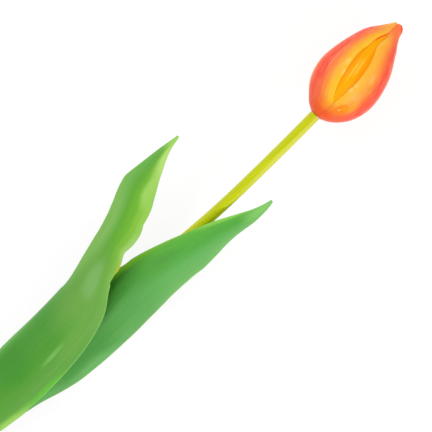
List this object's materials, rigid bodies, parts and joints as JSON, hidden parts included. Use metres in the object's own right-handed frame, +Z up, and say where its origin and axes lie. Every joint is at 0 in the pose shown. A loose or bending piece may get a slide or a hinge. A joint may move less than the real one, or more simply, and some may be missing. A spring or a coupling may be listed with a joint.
{
  "type": "artificial tulip",
  "caption": "Artificial tulip lying on its back: closed egg-shaped bud of overlapping petals on a pull-off peg, round wire-cored stem, and long pointed leaves that slide and turn on it.",
  "frame": {"origin": "centre of the stem's cut end", "axes": "+Y along the lying flower towards the bud, +X to its right as seen from its front, +Z up from the table it lies on"},
  "size_m": [0.0623, 0.4117, 0.0352],
  "materials": {
    "stem_plastic": "satin moulded polyethylene, yellow-green",
    "leaf_plastic": "satin moulded polyethylene with fine lengthwise veins, green",
    "outer_petal": "soft satin, coral red shaded to orange-yellow at the margins",
    "inner_petal": "soft satin, amber",
    "pistil_plastic": "matt, pale yellow-green",
    "anther_coating": "matt dipped coating, dark brown",
    "wire_steel": "galvanised drawn wire"
  },
  "bodies": {
    "stem": {"stem_tube": "stem_plastic", "stem_core_wire": "wire_steel"},
    "neck_peg": {"neck_peg": "stem_plastic"},
    "bud": {"receptacle": "stem_plastic", "pistil": "pistil_plastic", "filament_1": "pistil_plastic", "filament_2": "pistil_plastic", "filament_3": "pistil_plastic", "filament_4": "pistil_plastic", "filament_5": "pistil_plastic", "filament_6": "pistil_plastic", "anther_1": "anther_coating", "anther_2": "anther_coating", "anther_3": "anther_coating", "anther_4": "anther_coating", "anther_5": "anther_coating", "anther_6": "anther_coating", "outer_petal_left": "outer_petal", "outer_petal_right": "outer_petal", "outer_petal_back": "outer_petal", "inner_petal_front": "inner_petal", "inner_petal_right": "inner_petal", "inner_petal_left": "inner_petal"},
    "lower_sleeve": {"lower_leaf_sleeve": "leaf_plastic"},
    "lower_leaf": {"lower_leaf_blade": "leaf_plastic", "lower_leaf_wire": "wire_steel"},
    "upper_sleeve": {"upper_leaf_sleeve": "leaf_plastic"},
    "upper_leaf": {"upper_leaf_blade": "leaf_plastic", "upper_leaf_wire": "wire_steel"}
  },
  "joints": [
    {"name": "bud_turn", "type": "hinge", "parent": "stem", "child": "neck_peg", "pos_m": [-0.00322, 0.34964, 0.01397], "axis": [-0.0785, 0.9961, 0.0398], "continuous": true},
    {"name": "bud_pull", "type": "slide", "parent": "neck_peg", "child": "bud", "axis": [-0.0785, 0.9961, 0.0398], "range_m": [0, 0.012]},
    {"name": "lower_leaf_slide", "type": "slide", "parent": "stem", "child": "lower_sleeve", "axis": [0, 0.9992, 0.0399], "range_m": [-0.058, 0]},
    {"name": "lower_leaf_turn", "type": "hinge", "parent": "lower_sleeve", "child": "lower_leaf", "pos_m": [0, 0, 0], "axis": [0, 0.9992, 0.0399], "range_deg": [-60, 0]},
    {"name": "upper_leaf_slide", "type": "slide", "parent": "stem", "child": "upper_sleeve", "axis": [0, 0.9992, 0.0399], "range_m": [0, 0.04]},
    {"name": "upper_leaf_turn", "type": "hinge", "parent": "upper_sleeve", "child": "upper_leaf", "pos_m": [0, 0, 0], "axis": [0, 0.9992, 0.0399], "range_deg": [0, 60]}
  ]
}
